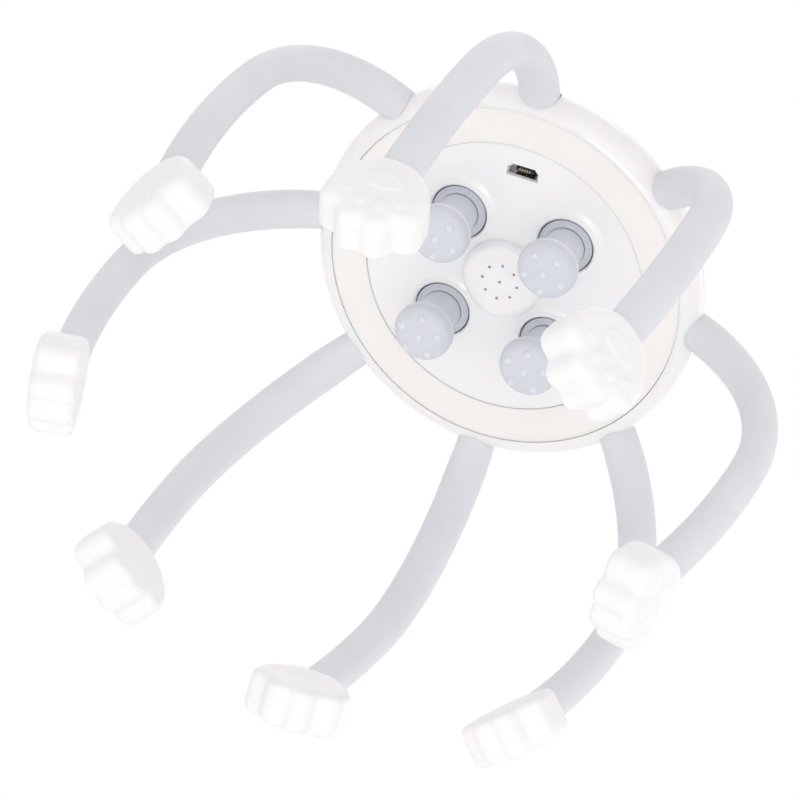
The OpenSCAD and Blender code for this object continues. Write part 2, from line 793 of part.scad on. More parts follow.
// Stretch of each arm that leaves the housing and bends when the arm flexes
module arm_roots() {
    color(ARM_GREY) around(ARMS) bend(flex_a, root_a, tube_r, wire_r + 0.03);
}

module wire_roots() {
    color("silver") around(ARMS) bend(flex_a, wire_root_a, wire_r);
}

// Short upright ring inside an arm's wall, across the place where its two curves meet
module arm_core(r, bore) {
    translate([arm_reach, 0, lip_z - arm_drop - 0.5])
        rotate_extrude() translate([bore, 0]) square([r - bore, 1]);
}

module arm_tube(k) {
    color(ARM_GREY) below_root(k) {
        bend(-arm_bend[k - 1], flex_a - 0.04, tube_r, wire_r + 0.03);
        below_bend(k) {
            inward_curve(0, paw_a(k) + socket_a, tube_r - arm_taper, wire_r + 0.06);
            arm_core(wire_r + 2, wire_r + 1);
        }
    }
}

module arm_wire(k) {
    color("silver") below_root(k) {
        bend(-arm_bend[k - 1], flex_a - 0.04, wire_r);
        below_bend(k) {
            inward_curve(0, paw_a(k) + socket_a, wire_r - 0.02);
            arm_core(wire_r * 0.6, 0);
        }
    }
}

// Paw in its own frame: X across the toes, Y up to the wrist, Z out of its back
module paw_shape() {
    toe_y = toe_r - paw_h / 2;
    translate([0, paw_h / 2 - palm_r, 0]) pill(palm_r, paw_t, paw_edge);
    for (side = [-1, 1]) {
        translate([side * (paw_w / 2 - cheek_r - 0.5), -0.6, 0]) pill(cheek_r, paw_t - 0.3, paw_edge);
        translate([side * toe_gap / 2, toe_y, 0]) pill(toe_r, toe_t, toe_edge);
        translate([side * toe_gap * 1.5, toe_y + toe_lift, 0]) pill(toe_r - 0.05, toe_t - 0.2, toe_edge);
    }
    // Paw print on the back: one broad pad and four small ones, standing slightly proud
    translate([0, 0, paw_t / 2 - 1]) {
        translate([0, 3, 0]) cylinder(r = 3, h = 1.45);
        for (side = [-1, 1]) {
            translate([side * 2.6, 2.6, 0]) cylinder(r = 2.5, h = 1.4);
            translate([side * 2.6, -2.9, 0]) cylinder(r = 1.35, h = 1.4);
            translate([side * 7.1, -0.5, 0]) cylinder(r = 1.25, h = 1.35);
        }
    }
}

module paw(k) {
    end_a = paw_a(k);
    end_x = arm_reach - curve_r * (1 - cos(end_a));
    end_z = lip_z - arm_drop - curve_r * sin(end_a);
    color(SHELL_WHITE) difference() {
        below_root(k) below_bend(k) difference() {
            translate([end_x, 0, end_z]) rotate([0, end_a, 0]) rotate([90, 0, 90])
                translate([0, -paw_h / 2, 0]) paw_shape();
            inward_curve(end_a - 2, end_a + socket_a + 0.02, tube_r - arm_taper + 0.02);
        }
        // The toes are pressed flat where they stand
        translate([-body_d, -body_d, -10]) cube([2 * body_d, 2 * body_d, 10]);
    }
}

// ---------- nodes ----------

top_shell();
bottom_ring();
base_plate();
gear_frame();
frame_screws();
ring_screws();
anchor_ring();
motor_can();
motor_gearbox();
battery_cell();
battery_pad();
control_board();
board_screws();
tact_switch();
status_lights();
light_ring();
usb_shell();
usb_tongue();
usb_board();
sounder();
spindle_bushes();
arm_roots();
wire_roots();
power_button();
switch_plunger();
drive_gear();
motor_shaft();
for (k = [1:HEADS]) head_spindle(k);
for (k = [1:HEADS]) head_cap(k);
for (k = [1:ARMS]) arm_tube(k);
for (k = [1:ARMS]) arm_wire(k);
for (k = [1:ARMS]) paw(k);
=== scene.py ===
import math

import bmesh
import bpy
import numpy as np
from mathutils import Matrix, Vector


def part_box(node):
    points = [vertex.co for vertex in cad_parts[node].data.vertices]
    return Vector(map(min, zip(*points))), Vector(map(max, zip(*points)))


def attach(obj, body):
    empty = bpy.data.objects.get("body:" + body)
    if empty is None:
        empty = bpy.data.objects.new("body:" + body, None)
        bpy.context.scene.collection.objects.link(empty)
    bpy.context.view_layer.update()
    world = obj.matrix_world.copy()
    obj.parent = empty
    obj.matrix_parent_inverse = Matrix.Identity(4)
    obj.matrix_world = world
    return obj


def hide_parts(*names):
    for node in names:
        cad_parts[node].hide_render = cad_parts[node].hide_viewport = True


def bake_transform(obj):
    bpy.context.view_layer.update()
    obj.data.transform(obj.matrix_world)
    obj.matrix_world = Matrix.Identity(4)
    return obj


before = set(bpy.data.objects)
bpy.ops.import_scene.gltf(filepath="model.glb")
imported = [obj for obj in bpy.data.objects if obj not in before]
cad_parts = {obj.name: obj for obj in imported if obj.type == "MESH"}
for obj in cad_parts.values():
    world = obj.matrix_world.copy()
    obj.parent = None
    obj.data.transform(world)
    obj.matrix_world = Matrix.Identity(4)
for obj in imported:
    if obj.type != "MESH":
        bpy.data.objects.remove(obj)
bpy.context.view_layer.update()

# ---------- Camera ----------
# A long lens from below and in front, so that the kneading heads, the charging socket and the
# undersides of the paws are all seen. It stands below the surface that the massager rests on.
LENS_MM = 157.5
SENSOR_MM = 36.0
CAMERA_PLACE = (0.203477, -0.444164, -0.6243994)
CAMERA_RIGHT = Vector((0.91801, -0.14097, 0.37066))
CAMERA_UP = Vector((-0.31174, -0.83425, 0.45480))
CAMERA_BACK = Vector((0.24511, -0.53306, -0.80979))

camera_data = bpy.data.cameras.new("camera")
camera_data.lens = LENS_MM
camera_data.sensor_width = SENSOR_MM
camera_data.clip_start = 0.01
camera_data.clip_end = 20.0
camera = bpy.data.objects.new("camera", camera_data)
camera_turn = Matrix((CAMERA_RIGHT, CAMERA_UP, CAMERA_BACK)).transposed().to_4x4()
camera.matrix_world = Matrix.Translation(CAMERA_PLACE) @ camera_turn
bpy.context.scene.collection.objects.link(camera)
bpy.context.scene.camera = camera
bpy.context.scene.view_settings.view_transform = "Standard"

# ---------- Studio ----------
# A white room with a large soft lamp and a small glint lamp below the massager, and three soft lamps
# above it. The floor is a plain pale sheet that only shows when it is seen from above.
ROOM_FILL = 0.915
FILL_COLOUR = (0.985, 0.98, 1.0, 1.0)
FLOOR_COLOUR = (0.84, 0.84, 0.845, 1.0)
FLOOR_RADIUS = 2.5
FLOOR_DROP = 0.0002
LAMP_COLOUR = (1.0, 0.985, 0.965)
LAMP_AIM = (0.0, 0.0, 0.08)


def paint(code):
    """Linear colour of a paint given as a #RRGGBB code."""
    parts = [int(code[i:i + 2], 16) / 255 for i in (1, 3, 5)]
    return (*[c / 12.92 if c <= 0.04045 else ((c + 0.055) / 1.055) ** 2.4 for c in parts], 1.0)


def add_object(name, mesh):
    made = bpy.data.objects.new(name, mesh)
    bpy.context.scene.collection.objects.link(made)
    return made


def chain(tree, node_type, label, **settings):
    """Adds a shader node; settings are its properties, and its inputs by name or number."""
    made = tree.nodes.new(node_type)
    made.label = label
    inputs = settings.pop("inputs", {})
    for key, value in settings.items():
        setattr(made, key, value)
    for key, value in inputs.items():
        if isinstance(value, bpy.types.NodeSocket):
            tree.links.new(value, made.inputs[key])
        else:
            made.inputs[key].default_value = value
    return made


room = bpy.data.worlds.new("white room")
room.use_nodes = True
room_tree = room.node_tree
room_tree.nodes.clear()
ray = chain(room_tree, "ShaderNodeLightPath", "ray")
seen = chain(room_tree, "ShaderNodeMath", "camera or glossy", operation="MAXIMUM",
             inputs={0: ray.outputs["Is Camera Ray"], 1: ray.outputs["Is Glossy Ray"]})
seen_or_through = chain(room_tree, "ShaderNodeMath", "or through glass", operation="MAXIMUM",
                        inputs={0: seen.outputs[0], 1: ray.outputs["Is Transmission Ray"]})
fill = chain(room_tree, "ShaderNodeBackground", "fill",
             inputs={"Color": FILL_COLOUR, "Strength": ROOM_FILL})
backdrop = chain(room_tree, "ShaderNodeBackground", "backdrop",
                 inputs={"Color": (1.0, 1.0, 1.0, 1.0), "Strength": 1.0})
room_mix = chain(room_tree, "ShaderNodeMixShader", "room",
                 inputs={0: seen_or_through.outputs[0], 1: fill.outputs[0], 2: backdrop.outputs[0]})
chain(room_tree, "ShaderNodeOutputWorld", "out", inputs={"Surface": room_mix.outputs[0]})
bpy.context.scene.world = room

floor_mesh = bpy.data.meshes.new("floor")
floor_build = bmesh.new()
bmesh.ops.create_circle(floor_build, cap_ends=True, segments=96, radius=FLOOR_RADIUS)
floor_build.to_mesh(floor_mesh)
floor_build.free()
floor = add_object("floor", floor_mesh)
floor.location.z = -FLOOR_DROP

floor_paint = bpy.data.materials.new("floor paint")
floor_paint.use_nodes = True
floor_tree = floor_paint.node_tree
floor_tree.nodes.clear()
floor_ray = chain(floor_tree, "ShaderNodeLightPath", "ray")
floor_side = chain(floor_tree, "ShaderNodeNewGeometry", "side")
floor_front = chain(floor_tree, "ShaderNodeMath", "from above", operation="SUBTRACT",
                    inputs={0: 1.0, 1: floor_side.outputs["Backfacing"]})
floor_shown = chain(floor_tree, "ShaderNodeMath", "shown", operation="MULTIPLY",
                    inputs={0: floor_front.outputs[0], 1: floor_ray.outputs["Is Camera Ray"]})
floor_clear = chain(floor_tree, "ShaderNodeBsdfTransparent", "clear")
floor_pale = chain(floor_tree, "ShaderNodeBsdfDiffuse", "pale", inputs={"Color": FLOOR_COLOUR})
floor_mix = chain(floor_tree, "ShaderNodeMixShader", "floor",
                  inputs={0: floor_shown.outputs[0], 1: floor_clear.outputs[0], 2: floor_pale.outputs[0]})
chain(floor_tree, "ShaderNodeOutputMaterial", "out", inputs={"Surface": floor_mix.outputs[0]})
floor_mesh.materials.append(floor_paint)


def soft_lamp(name, place, size, watts):
    """Square soft lamp, slightly warm, that faces a point on the massager."""
    data = bpy.data.lights.new(name, "AREA")
    data.color = LAMP_COLOUR
    data.shape = "SQUARE"
    data.size = size
    data.energy = watts
    lamp = bpy.data.objects.new(name, data)
    direction = Vector(LAMP_AIM) - Vector(place)
    lamp.matrix_world = Matrix.Translation(place) @ direction.to_track_quat("-Z", "Y").to_matrix().to_4x4()
    bpy.context.scene.collection.objects.link(lamp)


soft_lamp("front lamp", (0.36, -0.24, -0.83), 1.0, 2.2)
soft_lamp("glint lamp", (0.03, 0.05, -0.85), 0.16, 0.6)
soft_lamp("side lamp", (0.8, 0.1, 0.75), 0.7, 0.8)
soft_lamp("top lamp", (-0.35, -0.3, 1.3), 0.9, 1.3)
soft_lamp("back lamp", (0.5, 0.9, 0.9), 0.8, 1.2)

# ---------- Top shell ----------
# Domed cover of the housing, injection moulded in glossy white plastic with a rolled rim. Four screws
# through the anchor ring hold it; the openings for the button and the arms are moulded in.


def skin_group():
    """Shader group for moulded surfaces: faint cloudy colour and gloss changes, and a fine grain."""
    tree = bpy.data.node_groups.new("moulded skin", "ShaderNodeTree")
    for label, kind, value in (
        ("Color", "NodeSocketColor", (0.8, 0.8, 0.8, 1.0)),
        ("Shade", "NodeSocketColor", (0.7, 0.7, 0.7, 1.0)),
        ("Cloud Amount", "NodeSocketFloat", 0.3),
        ("Cloud Scale", "NodeSocketFloat", 60.0),
        ("Roughness", "NodeSocketFloat", 0.3),
        ("Roughness Spread", "NodeSocketFloat", 0.08),
        ("Grain Scale", "NodeSocketFloat", 3000.0),
        ("Grain Height", "NodeSocketFloat", 0.00001),
        ("Grain Strength", "NodeSocketFloat", 0.3),
    ):
        socket = tree.interface.new_socket(label, in_out="INPUT", socket_type=kind)
        socket.default_value = value
    for label, kind in (
        ("Color", "NodeSocketColor"),
        ("Roughness", "NodeSocketFloat"),
        ("Normal", "NodeSocketVector"),
    ):
        tree.interface.new_socket(label, in_out="OUTPUT", socket_type=kind)
    given = chain(tree, "NodeGroupInput", "given")
    place = chain(tree, "ShaderNodeTexCoord", "place")
    cloud = chain(tree, "ShaderNodeTexNoise", "cloud", inputs={
        "Vector": place.outputs["Object"], "Scale": given.outputs["Cloud Scale"], "Detail": 4.0})
    spread = chain(tree, "ShaderNodeMapRange", "cloud spread", inputs={
        "Value": cloud.outputs[0], "From Min": 0.32, "From Max": 0.68})
    amount = chain(tree, "ShaderNodeMath", "cloud amount", operation="MULTIPLY", inputs={
        0: spread.outputs[0], 1: given.outputs["Cloud Amount"]})
    tint = chain(tree, "ShaderNodeMix", "tint", data_type="RGBA", inputs={
        0: amount.outputs[0], 6: given.outputs["Color"], 7: given.outputs["Shade"]})
    centred = chain(tree, "ShaderNodeMath", "centred", operation="SUBTRACT", inputs={
        0: spread.outputs[0], 1: 0.5})
    gloss = chain(tree, "ShaderNodeMath", "gloss", operation="MULTIPLY_ADD", inputs={
        0: centred.outputs[0], 1: given.outputs["Roughness Spread"], 2: given.outputs["Roughness"]})
    grain = chain(tree, "ShaderNodeTexNoise", "grain", inputs={
        "Vector": place.outputs["Object"], "Scale": given.outputs["Grain Scale"], "Detail": 2.0})
    bump = chain(tree, "ShaderNodeBump", "grain bump", inputs={
        "Strength": given.outputs["Grain Strength"], "Distance": given.outputs["Grain Height"],
        "Height": grain.outputs[0]})
    out = chain(tree, "NodeGroupOutput", "out")
    tree.links.new(tint.outputs[2], out.inputs["Color"])
    tree.links.new(gloss.outputs[0], out.inputs["Roughness"])
    tree.links.new(bump.outputs[0], out.inputs["Normal"])
    return tree


MOULDED_SKIN = skin_group()


def finish_of(name, group, values, **sockets):
    """Material whose colour, roughness and normal come from a shader group; sockets set the rest."""
    made = bpy.data.materials.new(name)
    made.use_nodes = True
    tree = made.node_tree
    shader = tree.nodes["Principled BSDF"]
    skin = tree.nodes.new("ShaderNodeGroup")
    skin.name = "skin"
    skin.node_tree = group
    for key, value in values.items():
        skin.inputs[key].default_value = value
    tree.links.new(skin.outputs["Color"], shader.inputs["Base Color"])
    tree.links.new(skin.outputs["Roughness"], shader.inputs["Roughness"])
    tree.links.new(skin.outputs["Normal"], shader.inputs["Normal"])
    for key, value in sockets.items():
        shader.inputs[key.replace("_", " ")].default_value = value
    return made


def moulded(name, colour, shade, roughness, cloud=0.3, cloud_scale=60.0, spread=0.08,
            grain_scale=3000.0, grain=0.3, **sockets):
    return finish_of(name, MOULDED_SKIN, {
        "Color": paint(colour), "Shade": paint(shade), "Cloud Amount": cloud, "Cloud Scale": cloud_scale,
        "Roughness": roughness, "Roughness Spread": spread, "Grain Scale": grain_scale,
        "Grain Strength": grain}, **sockets)


def dress(material, *names):
    """Gives CAD nodes their finish."""
    for name in names:
        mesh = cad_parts[name].data
        mesh.materials.clear()
        mesh.materials.append(material)


EDGE_GLOW = {"Subsurface_Weight": 0.5, "Subsurface_Radius": (0.0016, 0.0012, 0.001), "Subsurface_Scale": 1.0}
shell_white = moulded("shell white", "#F2EFEE", "#EAE7E7", 0.16, cloud=0.35, cloud_scale=35.0, spread=0.06,
                      grain_scale=900.0, grain=0.12, Coat_Weight=0.35, Coat_Roughness=0.06, **EDGE_GLOW)
dress(shell_white, "top_shell")

# ---------- Bottom ring ----------
# Flat warm-white ring between the cover and the base plate, moulded in the same plastic; its white is set a
# touch warmer than the cover's. It carries the base plate on a shelf and clips to the anchor ring.
ring_white = moulded("ring white", "#F4F0EC", "#EEE9E4", 0.2, cloud=0.4, cloud_scale=40.0,
                     spread=0.07, grain_scale=1200.0, grain=0.15, Coat_Weight=0.2, Coat_Roughness=0.1,
                     **EDGE_GLOW)
dress(ring_white, "bottom_ring")

# ---------- Base plate ----------
# Warm-white plate with four glossy rimmed openings for the kneading heads, the slot of the charging
# socket and the flat centre boss with its sound holes. Four clips hold it in the bottom ring.
PLATE_COLOUR = "#F4F2F1"
# Painted bounce light: between the boss and the heads the plate is blended toward a cooler white, standing in
# for bluish light bounced off the heads.
PLATE_BOUNCE_COLOUR = "#F1F2F2"
BOUNCE_FROM = 0.0085
BOUNCE_FULL_FROM = 0.013
BOUNCE_FULL_TO = 0.019
BOUNCE_TO = 0.033
plate_white = moulded("plate white", PLATE_COLOUR, "#EEEBEB", 0.22, cloud=0.4, cloud_scale=45.0,
                      spread=0.07, grain_scale=1300.0, grain=0.12, Coat_Weight=0.2, Coat_Roughness=0.08,
                      **EDGE_GLOW)
plate_tree = plate_white.node_tree
plate_place = chain(plate_tree, "ShaderNodeTexCoord", "place")
plate_flat = chain(plate_tree, "ShaderNodeVectorMath", "without height", operation="MULTIPLY",
                   inputs={0: plate_place.outputs["Object"], 1: (1.0, 1.0, 0.0)})
plate_radius = chain(plate_tree, "ShaderNodeVectorMath", "radius", operation="LENGTH",
                     inputs={0: plate_flat.outputs[0]})
past_boss = chain(plate_tree, "ShaderNodeMapRange", "past the boss", interpolation_type="SMOOTHSTEP",
                  inputs={"Value": plate_radius.outputs["Value"],
                          "From Min": BOUNCE_FROM, "From Max": BOUNCE_FULL_FROM})
within_heads = chain(plate_tree, "ShaderNodeMapRange", "among the heads", interpolation_type="SMOOTHSTEP",
                     inputs={"Value": plate_radius.outputs["Value"],
                             "From Min": BOUNCE_TO, "From Max": BOUNCE_FULL_TO})
# Painted bounce light: the ring between the boss and the heads where the cooler white is blended in.
bounce_zone = chain(plate_tree, "ShaderNodeMath", "cool zone", operation="MULTIPLY",
                    inputs={0: past_boss.outputs[0], 1: within_heads.outputs[0]})
plate_bounce_tint = chain(plate_tree, "ShaderNodeMix", "cooler among the heads", data_type="RGBA", inputs={
    0: bounce_zone.outputs[0], 6: paint(PLATE_COLOUR), 7: paint(PLATE_BOUNCE_COLOUR)})
plate_tree.links.new(plate_bounce_tint.outputs[2], plate_tree.nodes["skin"].inputs["Color"])
dress(plate_white, "base_plate")

# ---------- Kneading heads ----------
# Each head is a blue-grey silicone cap with six round bumps, pushed over the post of a toothed spindle
# moulded in stiffer plastic. The spindle turns in its opening; its dished collar closes the gap.
BOSS_DROP = 0.0021
LIP_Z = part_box("base_plate")[0].z + BOSS_DROP
DRIVE_TEETH = 19
HEAD_TEETH = 32
TOOTH_MODULE = 0.0008
HEAD_CENTRE = (DRIVE_TEETH + HEAD_TEETH) * TOOTH_MODULE / 2
CAP_COLOUR = "#D4D6DC"
CAP_RADIUS = 0.0077
CAP_PLANE = -0.011
CAP_HEIGHT = 0.00535
CAP_RIM = 0.0003
CAP_SHOULDER = 0.0032
CROWN_RADIUS = 0.032
STEM_RADIUS = 0.0052
STEM_TOP = 0.00055
STEM_CHAMFER = 0.0001
STEM_FILLET = 0.0009
# Painted light lifting the shaded stem, as a share of the paler tint.
STEM_PAINTED_LIGHT = 0.25
CAP_AROUND = 200
BUMP_RADIUS = 0.00115
BUMP_SINK = 0.00035
BUMP_RING = 0.00505
BUMP_SOFTNESS = 0.00009
# Painted highlight on the bump tops, as a share of the paler tint.
BUMP_PAINTED_HIGHLIGHT = 0.5
MOAT_DEPTH = 0.00006
MOAT_PLACE = 1.3
MOAT_SPREAD = 0.3


def ring_mesh(name, rings):
    """Mesh over rings of points, an array of (rings, points round, 3); the ends close in a fan."""
    count, around = rings.shape[:2]
    i, j = np.meshgrid(np.arange(count - 1), np.arange(around), indexing="ij")
    after = (j + 1) % around
    faces = np.stack([i * around + j, i * around + after, (i + 1) * around + after, (i + 1) * around + j], -1)
    faces = faces.reshape(-1, 4).tolist()
    points = np.vstack([rings.reshape(-1, 3), rings[0].mean(0), rings[-1].mean(0)])
    first, last, end = count * around, count * around + 1, (count - 1) * around
    for a in range(around):
        b = (a + 1) % around
        faces.append([first, b, a])
        faces.append([last, end + a, end + b])
    mesh = bpy.data.meshes.new(name)
    mesh.from_pydata(points.tolist(), [], faces)
    mesh.validate()
    mesh.shade_smooth()
    return mesh


def arc(centre, radius, degrees):
    """Points on a circle and their outward directions, for a list of angles."""
    a = np.radians(degrees)
    outward = np.stack([np.cos(a), np.sin(a)], 1)
    return np.array(centre) + radius * outward, outward


def cap_profile():
    """Half outline of a cap from the top of its stem to its tip, with outward directions."""
    stem = np.stack([np.full(12, STEM_RADIUS), np.linspace(STEM_TOP, CAP_PLANE + STEM_FILLET, 12)], 1)
    stem[0, 0] -= STEM_CHAMFER
    foot_centre = (STEM_RADIUS + STEM_FILLET, CAP_PLANE + STEM_FILLET)
    foot, foot_out = arc(foot_centre, STEM_FILLET, np.linspace(180, 270, 7)[1:])
    rim, rim_out = arc((CAP_RADIUS - CAP_RIM, CAP_PLANE - CAP_RIM), CAP_RIM, np.linspace(90, 0, 7))
    shoulder_x = CAP_RADIUS - CAP_SHOULDER
    crown_z = CAP_PLANE - CAP_HEIGHT + CROWN_RADIUS
    shoulder_z = crown_z - math.sqrt((CROWN_RADIUS - CAP_SHOULDER) ** 2 - shoulder_x ** 2)
    join = math.degrees(math.asin(shoulder_x / (CROWN_RADIUS - CAP_SHOULDER)))
    side, side_out = arc((shoulder_x, shoulder_z), CAP_SHOULDER, np.linspace(0, join - 90, 34))
    crown, crown_out = arc((0.0, crown_z), CROWN_RADIUS, -90 + join * np.linspace(1, 0.004, 44)[1:])
    points = np.vstack([stem, foot, rim, side, crown])
    outward = np.vstack([np.tile((1.0, 0.0), (len(stem), 1)), -foot_out, rim_out, side_out, crown_out])
    order = np.arange(len(points))
    face = order >= len(points) - len(side) - len(crown)
    rims = (order >= len(stem) + len(foot)) & (order < len(stem) + len(foot) + len(rim))
    return points, outward, face, rims, shoulder_z


def cap_mesh():
    """Cap with its bumps, and a point mask of painted light: painted highlights on the bumps and thin rim,
    and painted light lifting the stem's shade.
    """
    profile, profile_out, face, rims, shoulder_z = cap_profile()
    angle = np.linspace(0, 2 * math.pi, CAP_AROUND, endpoint=False)

    def spun(pairs):
        return np.stack([
            pairs[:, :1] * np.cos(angle), pairs[:, :1] * np.sin(angle),
            np.broadcast_to(pairs[:, 1:], (len(pairs), CAP_AROUND))], -1)

    rings, outward = spun(profile), spun(profile_out)
    depth = math.sqrt((CAP_SHOULDER - BUMP_SINK) ** 2 - (BUMP_RING - CAP_RADIUS + CAP_SHOULDER) ** 2)
    balls = [(0.0, 0.0, CAP_PLANE - CAP_HEIGHT + BUMP_SINK)]
    balls += [(BUMP_RING * math.cos(a), BUMP_RING * math.sin(a), shoulder_z - depth)
              for a in np.radians(np.arange(5) * 72)]
    lift = np.zeros(rings.shape[:2])
    # Painted highlight on the thin rim, and painted light on the stem against its shade.
    pale = (np.where(rims, 1.0, 0.0) + np.where(face | rims, 0.0, STEM_PAINTED_LIGHT))[:, None] * np.ones(CAP_AROUND)
    for ball in balls:
        toward = rings - np.array(ball)
        along = np.sum(toward * outward, -1)
        away = np.sqrt(np.maximum(np.sum(toward ** 2, -1) - along ** 2, 0))
        reach = np.sqrt(np.maximum(BUMP_RADIUS ** 2 - away ** 2, 0)) - along
        height = np.where(away < BUMP_RADIUS, reach, -along)
        raised = BUMP_SOFTNESS * np.logaddexp(height / BUMP_SOFTNESS, 0)
        moat = MOAT_DEPTH * np.exp(-((away - MOAT_PLACE * BUMP_RADIUS) / (MOAT_SPREAD * BUMP_RADIUS)) ** 2)
        near = (np.sum(toward ** 2, -1) < (3 * BUMP_RADIUS) ** 2) & face[:, None]
        lift += np.where(near, raised - moat, 0)
        # Painted highlight on the top of each bump.
        bump_painted_highlight = np.clip((1.02 - away / BUMP_RADIUS) / 0.4, 0, BUMP_PAINTED_HIGHLIGHT)
        pale = np.maximum(pale, np.where(near, bump_painted_highlight, 0))
    mesh = ring_mesh("head_cap", rings + outward * lift[..., None])
    mask = mesh.attributes.new("painted_light_mask", "FLOAT", "POINT")
    mask.data.foreach_set("value", np.append(pale.ravel(), (STEM_PAINTED_LIGHT, BUMP_PAINTED_HIGHLIGHT)))
    return mesh


head_silicone = moulded("head silicone", CAP_COLOUR, "#CACDD5", 0.42, cloud=0.35, cloud_scale=160.0,
                        spread=0.1, grain_scale=2600.0, grain=0.25, Specular_IOR_Level=0.35)
head_tree = head_silicone.node_tree
# The mask blends the cap toward a paler blue-grey: painted highlights on the rim and bumps, painted light on
# the shaded stem.
painted_light_places = chain(head_tree, "ShaderNodeAttribute", "pale places", attribute_name="painted_light_mask")
painted_light_tint = chain(head_tree, "ShaderNodeMix", "pale tint", data_type="RGBA", inputs={
    0: painted_light_places.outputs["Fac"], 6: paint(CAP_COLOUR), 7: paint("#EBEEF3")})
head_tree.links.new(painted_light_tint.outputs[2], head_tree.nodes["skin"].inputs["Color"])
spindle_grey = moulded("spindle grey", "#D8DBE1", "#CED2D9", 0.3, cloud=0.3, cloud_scale=90.0,
                       spread=0.08, grain_scale=2000.0, grain=0.2, **EDGE_GLOW)
shared_cap = cap_mesh()
shared_cap.materials.append(head_silicone)
for k in range(1, 5):
    azimuth = math.radians(45 + 90 * (k - 1))
    turn = math.radians(90 if azimuth > math.pi else -90)
    cap = add_object(f"kneading_cap_{k}", shared_cap)
    cap.matrix_world = (
        Matrix.Translation((HEAD_CENTRE * math.cos(azimuth), HEAD_CENTRE * math.sin(azimuth), LIP_Z))
        @ Matrix.Rotation(turn, 4, "Z"))
    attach(cap, f"head_{k}")
    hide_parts(f"head_cap_{k}")
    dress(spindle_grey, f"head_spindle_{k}")

# ---------- Arms ----------
# Eight satin silicone tubes moulded over spring wire, round at the root, slightly flattened below it and
# narrower inside the paw. Their roots are clamped in the anchor ring; each arm has a set of its own.
BEND_X = 0.024
BEND_RADIUS = 0.058
CURVE_RADIUS = 0.2
ARM_REACH = 0.082
ARM_DROP = 0.046
ROOT_ANGLE = 70.6
FLEX_ANGLE = 52.0
INTO_PAW = 1.8
ARM_AROUND = 48
ARM_STATIONS = (0.0, 0.075, 0.14, 0.962, 0.975, 1.0)
ARM_HALF_WIDTHS = (0.00488, 0.00495, 0.0053, 0.00492, 0.0038, 0.0036)
ARM_HALF_DEPTHS = (0.00488, 0.0047, 0.00425, 0.00449, 0.0032, 0.003)
SET_BEND = (1, 1, 10, 4, 1.5, -3.5, 1.5, -2)
SET_TWIST = (2.5, -1, 2, 2, 0, 2, -1, 1)
SET_BOW_IN = (0.0012, 0.0004, 0.0017, 0.0006, 0.0005, 0.0007, 0.0024, 0.0017)
SET_BOW_ASIDE = (-0.0001, 0.0, 0.0001, 0.0004, 0.0002, -0.0006, -0.0009, 0.0002)
SET_TIP_OUT = (0.0012, 0.001, 0.0, -0.0006, 0.0008, -0.0003, 0.0, 0.0)
SET_TIP_ASIDE = (0.0, -0.0003, -0.0016, 0.0, 0.0, 0.0, 0.0, 0.0)
PAW_HEIGHT = 0.0226
TOE_RADIUS = 0.00335
TOE_THICK = 0.0111
TOE_EDGE = 0.0026
TOE_FLAT = 0.00025


def azimuth_turn(k):
    return Matrix.Rotation(math.radians(45 * (k - 1)), 4, "Z")


def bend_point(degrees):
    """Point of the upper bend of an arm at azimuth 0."""
    a = math.radians(degrees)
    return Vector((BEND_X + BEND_RADIUS * math.cos(a), 0, LIP_Z - ARM_DROP + BEND_RADIUS * math.sin(a)))


def curve_point(degrees):
    """Point of the long inward curve of an arm at azimuth 0."""
    a = math.radians(degrees)
    out = ARM_REACH - CURVE_RADIUS * (1 - math.cos(a))
    return Vector((out, 0, LIP_Z - ARM_DROP - CURVE_RADIUS * math.sin(a)))


def below_root(k):
    """Takes what hangs below the root of a plain arm to arm k, with that arm's twist."""
    flex = bend_point(FLEX_ANGLE)
    along = Vector((math.sin(math.radians(FLEX_ANGLE)), 0, -math.cos(math.radians(FLEX_ANGLE))))
    return (azimuth_turn(k) @ Matrix.Translation(flex)
            @ Matrix.Rotation(math.radians(SET_TWIST[k - 1]), 4, along) @ Matrix.Translation(-flex))


def below_bend(k):
    """Takes what hangs below a plain arm's furthest point to the end of arm k's own bend."""
    pivot = Vector((BEND_X, 0, LIP_Z - ARM_DROP))
    return (below_root(k) @ Matrix.Translation(pivot)
            @ Matrix.Rotation(math.radians(SET_BEND[k - 1]), 4, "Y") @ Matrix.Translation(-pivot))


def paw_angle(k):
    """Angle at which arm k's inward curve ends, so that all paws stand on one plane."""
    bend = math.radians(SET_BEND[k - 1])
    out = CURVE_RADIUS + TOE_THICK / 2 - TOE_EDGE
    down = PAW_HEIGHT - TOE_EDGE
    drop = LIP_Z + TOE_FLAT - TOE_EDGE - ARM_DROP + (CURVE_RADIUS - BEND_RADIUS) * math.sin(bend)
    return math.degrees(math.asin(drop / math.hypot(out, down)) - math.atan(down / out) - bend)


def tip_shift(k):
    """How far paw k sits from the middle of its arm's end, which enters it off centre."""
    return azimuth_turn(k) @ Vector((SET_TIP_OUT[k - 1], SET_TIP_ASIDE[k - 1], 0))


def run_along(line):
    """Distance along a line of points, from its first point."""
    return np.concatenate([[0], np.cumsum(np.linalg.norm(np.diff(line, axis=0), axis=1))])


